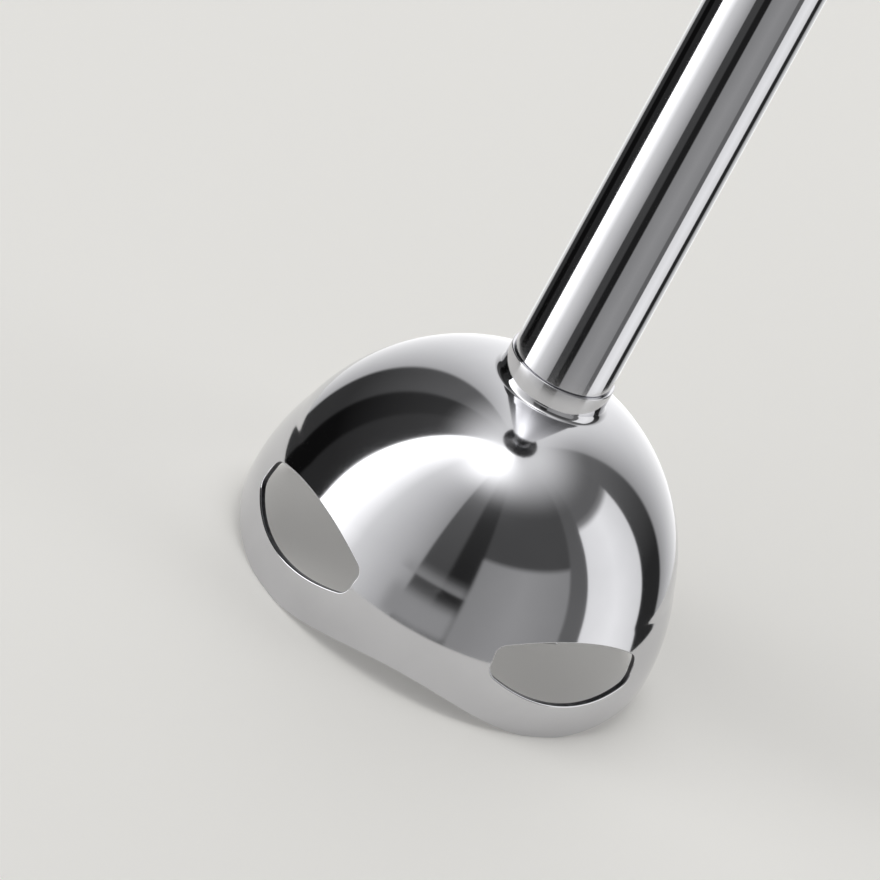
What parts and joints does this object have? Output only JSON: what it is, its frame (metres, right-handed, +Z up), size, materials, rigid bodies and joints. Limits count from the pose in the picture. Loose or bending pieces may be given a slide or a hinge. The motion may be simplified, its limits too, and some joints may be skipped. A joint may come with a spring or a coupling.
{
  "type": "immersion blender",
  "caption": "Hand-held immersion blender with a polished steel bell foot, bent-wing blade, lock-on motor handle, speed dial and two trigger buttons.",
  "frame": {"origin": "on the shaft's axis, in the plane of the bell rim's lowest points", "axes": "+Z up along the shaft to the handle, -Y to the handle's front with its two buttons, +X to the right seen from the front"},
  "size_m": [0.067, 0.067, 0.3982],
  "materials": {
    "polished_steel": "mirror-polished stainless steel",
    "blade_steel": "ground stainless steel",
    "trim_steel": "satin stainless trim",
    "shaft_steel": "turned steel",
    "screw_steel": "zinc-plated steel",
    "spring_steel": "spring wire",
    "bearing_plastic": "moulded engineering plastic",
    "bronze": "oiled sintered bronze",
    "seal_rubber": "black rubber",
    "collar_plastic": "moulded plastic, fine grain",
    "housing_plastic": "moulded plastic, fine grain",
    "soft_grip": "soft-touch elastomer",
    "dial_plastic": "metallic grey plastic",
    "coupler_plastic": "natural nylon",
    "electronics": "circuit board and component plastic",
    "bracket_metal": "die-cast aluminium",
    "lamination_steel": "varnished laminations",
    "copper": "enamelled copper",
    "brush_brass": "stamped brass",
    "carbon": "pressed carbon"
  },
  "bodies": {
    "foot": {"bell_guard": "polished_steel", "shaft_tube": "polished_steel", "lower_bearing_holder": "bearing_plastic", "lower_bush": "bronze", "shaft_seal": "seal_rubber", "seal_cover": "blade_steel", "upper_bearing_holder": "bearing_plastic", "upper_bush": "bronze", "coupling_collar": "collar_plastic", "collar_seal": "seal_rubber", "collar_trim": "trim_steel"},
    "drive": {"drive_shaft": "shaft_steel", "blade": "blade_steel", "blade_spacer": "blade_steel", "blade_nut": "blade_steel", "shaft_coupler": "coupler_plastic", "retaining_ring": "shaft_steel"},
    "handle": {"handle_collar": "housing_plastic", "trim_ring": "trim_steel", "front_housing": "housing_plastic", "rear_housing": "housing_plastic", "grip_pad": "soft_grip", "housing_screws": "screw_steel", "release_springs": "spring_steel", "top_cap": "housing_plastic", "potentiometer": "electronics", "dial_plate": "coupler_plastic", "control_board": "electronics", "power_switch": "electronics", "turbo_switch": "electronics", "cord_inlet": "seal_rubber", "cord_clamp": "coupler_plastic", "clamp_screws": "screw_steel", "motor_screws": "screw_steel", "lower_bracket": "bracket_metal", "upper_bracket": "bracket_metal", "motor_bearings": "bracket_metal", "lower_mount": "seal_rubber", "upper_mount": "seal_rubber", "stator_core": "lamination_steel", "field_coils": "copper", "tie_bolts": "screw_steel", "brush_holders": "brush_brass", "carbon_brushes": "carbon", "brush_springs": "spring_steel"},
    "rotor": {"motor_shaft": "shaft_steel", "armature_core": "lamination_steel", "armature_windings": "copper", "commutator": "copper", "cooling_fan": "coupler_plastic", "drive_dog": "coupler_plastic"},
    "dial": {"speed_dial": "dial_plastic", "dial_shaft": "electronics"},
    "power_key": {"power_button": "soft_grip", "power_plunger": "electronics"},
    "turbo_key": {"turbo_button": "soft_grip", "turbo_plunger": "electronics"},
    "left_latch": {"release_button_left": "soft_grip"},
    "right_latch": {"release_button_right": "soft_grip"}
  },
  "joints": [
    {"name": "handle_lift", "type": "slide", "parent": "foot", "child": "handle", "axis": [0, 0, 1], "range_m": [0, 0.045]},
    {"name": "rotor_spin", "type": "hinge", "parent": "handle", "child": "rotor", "pos_m": [0, 0, 0.28], "axis": [0, 0, 1], "continuous": true},
    {"name": "blade_spin", "type": "hinge", "parent": "foot", "child": "drive", "pos_m": [0, 0, 0.1], "axis": [0, 0, 1], "continuous": true},
    {"name": "dial_turn", "type": "hinge", "parent": "handle", "child": "dial", "pos_m": [0, 0, 0.39], "axis": [0, 0, 1], "range_deg": [0, 280]},
    {"name": "power_press", "type": "slide", "parent": "handle", "child": "power_key", "axis": [0, 1, 0], "range_m": [0, 0.0025], "stiffness_N_per_m": 600},
    {"name": "turbo_press", "type": "slide", "parent": "handle", "child": "turbo_key", "axis": [0, 1, 0], "range_m": [0, 0.0025], "stiffness_N_per_m": 600},
    {"name": "left_release", "type": "slide", "parent": "handle", "child": "left_latch", "axis": [1, 0, 0], "range_m": [0, 0.003], "stiffness_N_per_m": 600, "deforming": ["release_springs"]},
    {"name": "right_release", "type": "slide", "parent": "handle", "child": "right_latch", "axis": [-1, 0, 0], "range_m": [0, 0.003], "stiffness_N_per_m": 600}
  ],
  "couplings": [
    {"joint": "blade_spin", "follows": "rotor_spin", "ratio": 1}
  ]
}
